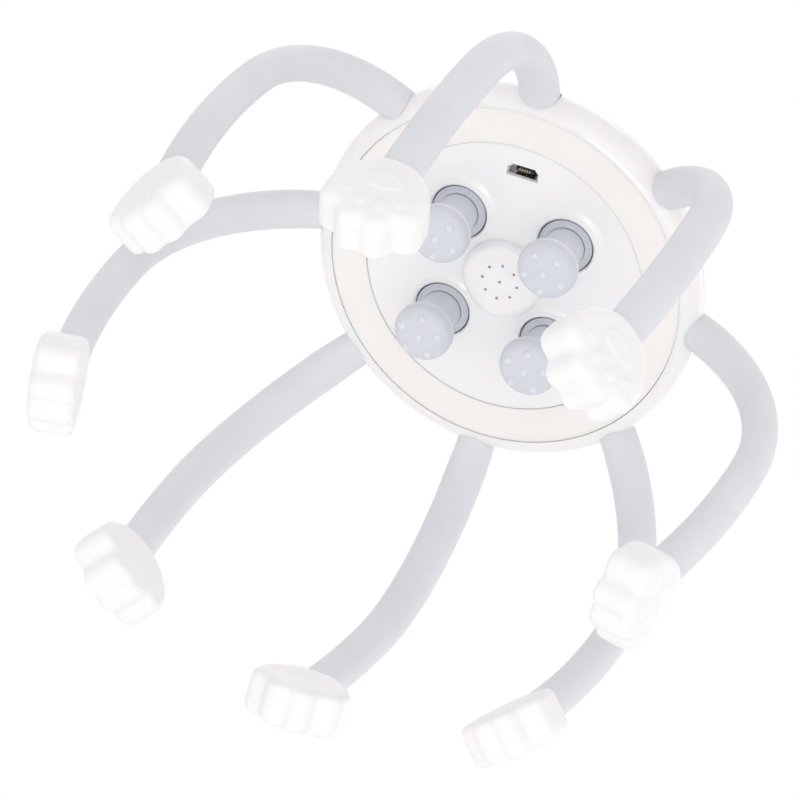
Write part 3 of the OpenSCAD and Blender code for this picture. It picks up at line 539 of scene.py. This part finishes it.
def arm_line(k, from_angle):
    """Centre line of arm k from an angle of its root to a little inside its paw."""
    line = [azimuth_turn(k) @ bend_point(a) for a in np.linspace(from_angle, FLEX_ANGLE, 25)[:-1]]
    line += [below_root(k) @ bend_point(a) for a in np.linspace(FLEX_ANGLE, -SET_BEND[k - 1], 56)[:-1]]
    line += [below_bend(k) @ curve_point(a) for a in np.linspace(0, paw_angle(k) + INTO_PAW, 40)]
    line = np.array([tuple(p) for p in line])
    run = run_along(line)
    share = np.minimum(run / (run[-1] - math.radians(INTO_PAW) * CURVE_RADIUS), 1)[:, None]
    bow = np.sin(np.pi * share)
    aside = np.array(below_root(k).to_3x3() @ Vector((0, 1, 0)))
    inward = np.cross(aside, np.gradient(line, axis=0))
    inward /= np.linalg.norm(inward, axis=1, keepdims=True)
    return line + bow * (SET_BOW_IN[k - 1] * inward + SET_BOW_ASIDE[k - 1] * aside)


def swept_rings(line, half_widths, half_depths, around):
    """Oval rings of points square to a centre line, without twist from one to the next."""
    tangents = np.gradient(line, axis=0)
    tangents /= np.linalg.norm(tangents, axis=1, keepdims=True)
    wide = np.cross(tangents[0], (0.0, 0.0, 1.0))
    angle = np.linspace(0, 2 * math.pi, around, endpoint=False)
    rings = []
    for point, tangent, half_width, half_depth in zip(line, tangents, half_widths, half_depths):
        wide = wide - tangent * (wide @ tangent)
        wide /= np.linalg.norm(wide)
        deep = np.cross(tangent, wide)
        rings.append(
            point + half_width * np.outer(np.cos(angle), wide) + half_depth * np.outer(np.sin(angle), deep))
    return np.array(rings)


arm_silicone = moulded("arm silicone", "#DFE0E3", "#D6D8DC", 0.5, cloud=0.4, cloud_scale=55.0,
                       spread=0.1, grain_scale=2200.0, grain=0.3, Specular_IOR_Level=0.25)
for k in range(1, 9):
    line = arm_line(k, ROOT_ANGLE)
    run = run_along(line) / run_along(line)[-1]
    rings = swept_rings(line, np.interp(run, ARM_STATIONS, ARM_HALF_WIDTHS),
                        np.interp(run, ARM_STATIONS, ARM_HALF_DEPTHS), ARM_AROUND)
    arm = add_object(f"arm_{k}_silicone", ring_mesh(f"arm_{k}_silicone", rings))
    arm.data.materials.append(arm_silicone)
    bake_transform(arm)
    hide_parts(f"arm_tube_{k}", "arm_roots")

# ---------- Arm wires ----------
# One steel spring wire in the middle of each arm, from the anchor ring that grips it to a little inside
# the paw. It bends with the arm's root and holds the arm's shape.
WIRE_ROOT_ANGLE = 75.0
WIRE_RADIUS = 0.001
WIRE_AROUND = 14
steel = moulded("steel", "#B7B8BA", "#A2A3A7", 0.28, cloud=0.5, cloud_scale=300.0,
                grain_scale=6000.0, grain=0.3, Metallic=1.0)
for k in range(1, 9):
    line = arm_line(k, WIRE_ROOT_ANGLE)
    radii = np.full(len(line), WIRE_RADIUS)
    rings = swept_rings(line, radii, radii, WIRE_AROUND)
    wire = add_object(f"arm_{k}_spring_wire", ring_mesh(f"arm_{k}_spring_wire", rings))
    wire.data.materials.append(steel)
    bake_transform(wire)
    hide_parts(f"arm_wire_{k}", "wire_roots")

# ---------- Paws ----------
# Soft white silicone tips in the shape of a paw: four toes fluted through the whole thickness, and a
# raised print on the back. Each is pushed over the end of its arm. The sizes below are millimetres.
PAW_WIDTH = 24.0
PAW_THICK = 11.4
PALM_RADIUS = 10.6
CHEEK_RADIUS = 5.4
CHEEK_ASIDE = 6.3
CHEEK_DOWN = 0.6
OUTER_TOE_RISE = 4.1
BODY_JOIN = 2.5
TOE_JOIN = 1.3
MIDDLE_JOIN = 1.1
PALM_TOE_JOIN = 1.5
BACK_EDGE = 2.5
PALM_EDGE = 1.7
BACK_CROWN = 0.45
PALM_CROWN = 0.2
CROWN_REACH = 12
PAW_LOW = (-13.4, -12.6, -6.8)
PAW_HIGH = (13.4, 12.6, 7.4)
PAW_STEP = 0.36
PAD_RISE = 0.3
BEAN_RISE = 0.34
SURFACE_PASSES = 3
PASS_SHARE = 0.9
NUDGE = 0.02
PAW_AXES = Matrix(((0, 0, 1, 0), (1, 0, 0, 0), (0, 1, 0, 0), (0, 0, 0, 1)))


def soft_join(a, b, width):
    """Union of two distance fields with a fillet."""
    h = np.clip(0.5 + 0.5 * (b - a) / width, 0, 1)
    return b * (1 - h) + a * h - width * h * (1 - h)


def paw_outline(x, y):
    """Distance to the outline of the paw seen from its back, in millimetres."""
    toe = TOE_RADIUS * 1000
    high = PAW_HEIGHT * 1000
    gap = (PAW_WIDTH - 2 * toe) / 3
    ax = np.abs(x)
    palm = np.hypot(x, y - (high / 2 - PALM_RADIUS)) - PALM_RADIUS
    cheek = np.hypot(ax - CHEEK_ASIDE, y + CHEEK_DOWN) - CHEEK_RADIUS
    inner_toe = np.hypot(ax - gap / 2, y + high / 2 - toe) - toe
    outer_toe = np.hypot(ax - 1.5 * gap, y + high / 2 - toe - OUTER_TOE_RISE) - toe
    body = soft_join(palm, cheek, BODY_JOIN)
    toes = soft_join(inner_toe, outer_toe, TOE_JOIN)
    mirrored = np.hypot(ax + gap / 2, y + high / 2 - toe) - toe
    toes = soft_join(toes, mirrored, MIDDLE_JOIN)
    return soft_join(body, toes, PALM_TOE_JOIN)


def oval(x, y, centre, radii, lean, edge):
    """Soft-edged mask of a leaning oval, from 1 inside to 0 outside; edge is a share of its radii."""
    across = (x - centre[0]) * math.cos(lean) + (y - centre[1]) * math.sin(lean)
    along = (y - centre[1]) * math.cos(lean) - (x - centre[0]) * math.sin(lean)
    mask = np.clip((1 + edge / 2 - np.hypot(across / radii[0], along / radii[1])) / edge, 0, 1)
    return mask * mask * (3 - 2 * mask)


def paw_print(x, y):
    """Height of the raised print: one broad flat pad and four soft beans above the toes."""
    ax = np.abs(x)
    pad = oval(x, y, (0.0, 2.5), (4.9, 2.7), 0.0, 0.16)
    inner = oval(ax, y, (2.5, -4.5), (1.2, 1.6), math.radians(-8), 0.8)
    outer = oval(ax, y, (6.5, -2.3), (1.2, 1.6), math.radians(-32), 0.8)
    return PAD_RISE * pad + BEAN_RISE * np.maximum(inner, outer)


def paw_field(p):
    """Signed distance to the paw's surface, in millimetres. X across the toes, Z out of its back."""
    x, y, z = p[..., 0], p[..., 1], p[..., 2]
    flat = paw_outline(x, y)
    edge = np.where(z > 0, BACK_EDGE, PALM_EDGE)
    reach = np.hypot(x, y)
    crown = np.where(z > 0, BACK_CROWN, PALM_CROWN)
    half = PAW_THICK / 2 - crown * np.clip(reach / CROWN_REACH, 0, 1) ** 2
    tall = np.abs(z - np.where(z > 0, paw_print(x, y), 0)) - half
    a, b = flat + edge, tall + edge
    return np.hypot(np.maximum(a, 0), np.maximum(b, 0)) - edge + np.minimum(np.maximum(a, b), 0)


def field_mesh(field, low, high, step):
    """Points and four-sided faces of the surface where a field is zero, found cell by cell."""
    axes = [np.arange(a, b + step, step) for a, b in zip(low, high)]
    grid = np.stack(np.meshgrid(*axes, indexing="ij"), -1)
    value = field(grid)
    size = np.array(value.shape) - 1
    total = np.zeros((*size, 3))
    count = np.zeros(size)

    def part(array, corner):
        return array[tuple(slice(c, c + s) for c, s in zip(corner, size))]

    for axis in range(3):
        others = [a for a in range(3) if a != axis]
        for u in (0, 1):
            for v in (0, 1):
                near = [0, 0, 0]
                near[others[0]], near[others[1]] = u, v
                far = list(near)
                far[axis] = 1
                a, b = part(value, near), part(value, far)
                cross = (a < 0) != (b < 0)
                t = np.where(cross, a / np.where(cross, a - b, 1), 0)[..., None]
                spot = part(grid, near) * (1 - t) + part(grid, far) * t
                total += spot * cross[..., None]
                count += cross
    used = count > 0
    index = np.full(count.shape, -1)
    index[used] = np.arange(used.sum())
    points = total[used] / count[used][:, None]
    faces = []
    for axis in range(3):
        b, c = (axis + 1) % 3, (axis + 2) % 3
        low_end = [slice(None)] * 3
        high_end = [slice(None)] * 3
        low_end[axis], high_end[axis] = slice(0, -1), slice(1, None)
        inside_low, inside_high = value[tuple(low_end)] < 0, value[tuple(high_end)] < 0
        spots = np.argwhere(inside_low != inside_high)
        spots = spots[(spots[:, b] > 0) & (spots[:, c] > 0)]
        flip = inside_low[tuple(spots.T)]
        corners = []
        for db, dc in ((1, 1), (0, 1), (0, 0), (1, 0)):
            cell = spots.copy()
            cell[:, b] -= db
            cell[:, c] -= dc
            corners.append(index[tuple(cell.T)])
        quads = np.stack(corners, 1)
        faces.append(np.where(flip[:, None], quads, quads[:, ::-1]))
    for _ in range(SURFACE_PASSES):
        gradient = np.stack([
            (field(points + NUDGE * unit) - field(points - NUDGE * unit)) / (2 * NUDGE)
            for unit in np.eye(3)], -1)
        gradient /= np.maximum(np.linalg.norm(gradient, axis=1, keepdims=True), 1e-6)
        points = points - field(points)[:, None] * gradient * PASS_SHARE
    return points, np.vstack(faces)


paw_silicone = moulded("paw silicone", "#F2F0EF", "#ECEAE9", 0.36, cloud=0.35, cloud_scale=120.0,
                       spread=0.1, grain_scale=1500.0, grain=0.15, Subsurface_Weight=0.12,
                       Subsurface_Radius=(0.004, 0.0035, 0.003), Subsurface_Scale=1.0)
paw_points, paw_faces = field_mesh(paw_field, PAW_LOW, PAW_HIGH, PAW_STEP)
paw_quads = paw_faces.tolist()
for k in range(1, 9):
    ends = paw_angle(k)
    place = (
        Matrix.Translation(tip_shift(k)) @ below_bend(k)
        @ Matrix.Translation(curve_point(ends)) @ Matrix.Rotation(math.radians(ends), 4, "Y")
        @ PAW_AXES @ Matrix.Translation((0, -PAW_HEIGHT / 2, 0)))
    turn = np.array(place.to_3x3())
    placed = paw_points / 1000 @ turn.T + np.array(place.translation)
    placed[:, 2] = np.maximum(placed[:, 2], 0.0)
    mesh = bpy.data.meshes.new(f"paw_tip_{k}")
    mesh.from_pydata(placed.tolist(), [], paw_quads)
    mesh.shade_smooth()
    mesh.materials.append(paw_silicone)
    tip_piece = add_object(f"paw_tip_{k}", mesh)
    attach(tip_piece, f"arm_{k}")
    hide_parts(f"paw_{k}")

# ---------- Charging socket ----------
# Tinned steel shell with a black tongue that carries five gilt contacts, soldered to a small board on two
# posts of the base plate. The switch and the sounder are moulded in the same black.
CONTACTS = 5
CONTACT_PITCH = 0.00065
CONTACT_EDGE = 0.1
TONGUE_COLOUR = "#17171A"
port_steel = moulded("port steel", "#E2E1E0", "#C4C2C1", 0.24, cloud=0.5, cloud_scale=600.0,
                     spread=0.12, grain_scale=5000.0, grain=0.3, Metallic=1.0)
dress(port_steel, "usb_shell")
socket_black = moulded("socket black", "#17171A", "#242428", 0.4, cloud=0.4, cloud_scale=500.0)
dress(socket_black, "tact_switch", "sounder")
tongue_black = moulded("tongue with contacts", TONGUE_COLOUR, "#242428", 0.35, cloud=0.4, cloud_scale=500.0)
tongue_tree = tongue_black.node_tree
tongue_place = chain(tongue_tree, "ShaderNodeTexCoord", "place")
tongue_axes = chain(tongue_tree, "ShaderNodeSeparateXYZ", "axes", inputs={0: tongue_place.outputs["Object"]})
contact_wave = chain(tongue_tree, "ShaderNodeMath", "along the row", operation="MULTIPLY",
                     inputs={0: tongue_axes.outputs["X"], 1: 2 * math.pi / CONTACT_PITCH})
contact_ridge = chain(tongue_tree, "ShaderNodeMath", "contacts", operation="COSINE",
                      inputs={0: contact_wave.outputs[0]})
contact_edge = chain(tongue_tree, "ShaderNodeMath", "contact edge", operation="GREATER_THAN",
                     inputs={0: contact_ridge.outputs[0], 1: CONTACT_EDGE})
tongue_side = chain(tongue_tree, "ShaderNodeMath", "either side", operation="ABSOLUTE",
                    inputs={0: tongue_axes.outputs["X"]})
contact_row = chain(tongue_tree, "ShaderNodeMath", "five of them", operation="LESS_THAN",
                    inputs={0: tongue_side.outputs[0], 1: CONTACTS / 2 * CONTACT_PITCH})
gilt = chain(tongue_tree, "ShaderNodeMath", "gilt", operation="MULTIPLY",
             inputs={0: contact_edge.outputs[0], 1: contact_row.outputs[0]})
gilt_tint = chain(tongue_tree, "ShaderNodeMix", "gilt tint", data_type="RGBA", inputs={
    0: gilt.outputs[0], 6: paint(TONGUE_COLOUR), 7: paint("#C8B890")})
tongue_tree.links.new(gilt_tint.outputs[2], tongue_tree.nodes["skin"].inputs["Color"])
tongue_tree.links.new(gilt.outputs[0], tongue_tree.nodes["Principled BSDF"].inputs["Metallic"])
dress(tongue_black, "usb_tongue")

# ---------- Button and light ring ----------
# Pale grey button that follows the dome. A frosted clear ring let into the cover guides it and carries
# the light; the button's foot meets a red plunger on the switch.
button_grey = moulded("button grey", "#DDE1E6", "#D3D8DE", 0.25, cloud=0.3, cloud_scale=80.0,
                      grain_scale=2000.0, grain=0.2, Coat_Weight=0.2)
dress(button_grey, "power_button")
light_clear = moulded("frosted clear", "#DCE8F0", "#CFE0EA", 0.35, cloud=0.3, cloud_scale=150.0,
                      grain_scale=3500.0, grain=0.3, Transmission_Weight=0.35, IOR=1.49)
dress(light_clear, "light_ring")
plunger_red = moulded("plunger red", "#B0352C", "#9C2D26", 0.45)
dress(plunger_red, "switch_plunger")

# ---------- Drive ----------
# Acetal drive gear pressed on a ground steel shaft, turned by a flat gear motor that stands on the gear
# frame. The pins of the head spindles run in bronze bushes in the same frame.
gear_cream = moulded("gear cream", "#EDEBDD", "#E2E0CF", 0.42, cloud=0.3)
dress(gear_cream, "drive_gear")
motor_steel = moulded("motor steel", "#A9ABAF", "#96989D", 0.34, cloud=0.5, cloud_scale=200.0,
                      grain_scale=6000.0, grain=0.4, Metallic=1.0)
dress(motor_steel, "motor_can", "motor_gearbox")
dress(steel, "frame_screws", "ring_screws", "board_screws", "motor_shaft")
bush_bronze = moulded("bush bronze", "#B08A55", "#96733F", 0.45, cloud=0.5, cloud_scale=400.0, Metallic=1.0)
dress(bush_bronze, "spindle_bushes")

# ---------- Frame and electronics ----------
# Nylon gear frame screwed to four posts of the base plate, and the nylon anchor ring that grips the arms.
# A foil pouch cell lies on foam; the green control board is screwed to three posts of the cover.
inner_plastic = moulded("inner plastic", "#DFE1E3", "#D2D5D8", 0.5, cloud=0.3, grain_scale=1800.0, grain=0.4)
dress(inner_plastic, "gear_frame", "anchor_ring")
cell_foil = moulded("cell foil", "#C4C8CE", "#ADB2BA", 0.38, cloud=0.5, cloud_scale=250.0,
                    grain_scale=800.0, grain=0.6, Metallic=0.9)
dress(cell_foil, "battery_cell")
foam = moulded("foam", "#3C3E42", "#2C2E31", 0.9, cloud=0.6, cloud_scale=900.0, grain_scale=2500.0, grain=1.0)
dress(foam, "battery_pad")
board_green = moulded("board green", "#1F6B41", "#175534", 0.4, cloud=0.5, cloud_scale=400.0,
                      grain_scale=1500.0, grain=0.3)
dress(board_green, "control_board", "usb_board")
lamp_yellow = moulded("lamp yellow", "#F7F0C4", "#EBDFA4", 0.3, cloud=0.3)
dress(lamp_yellow, "status_lights")
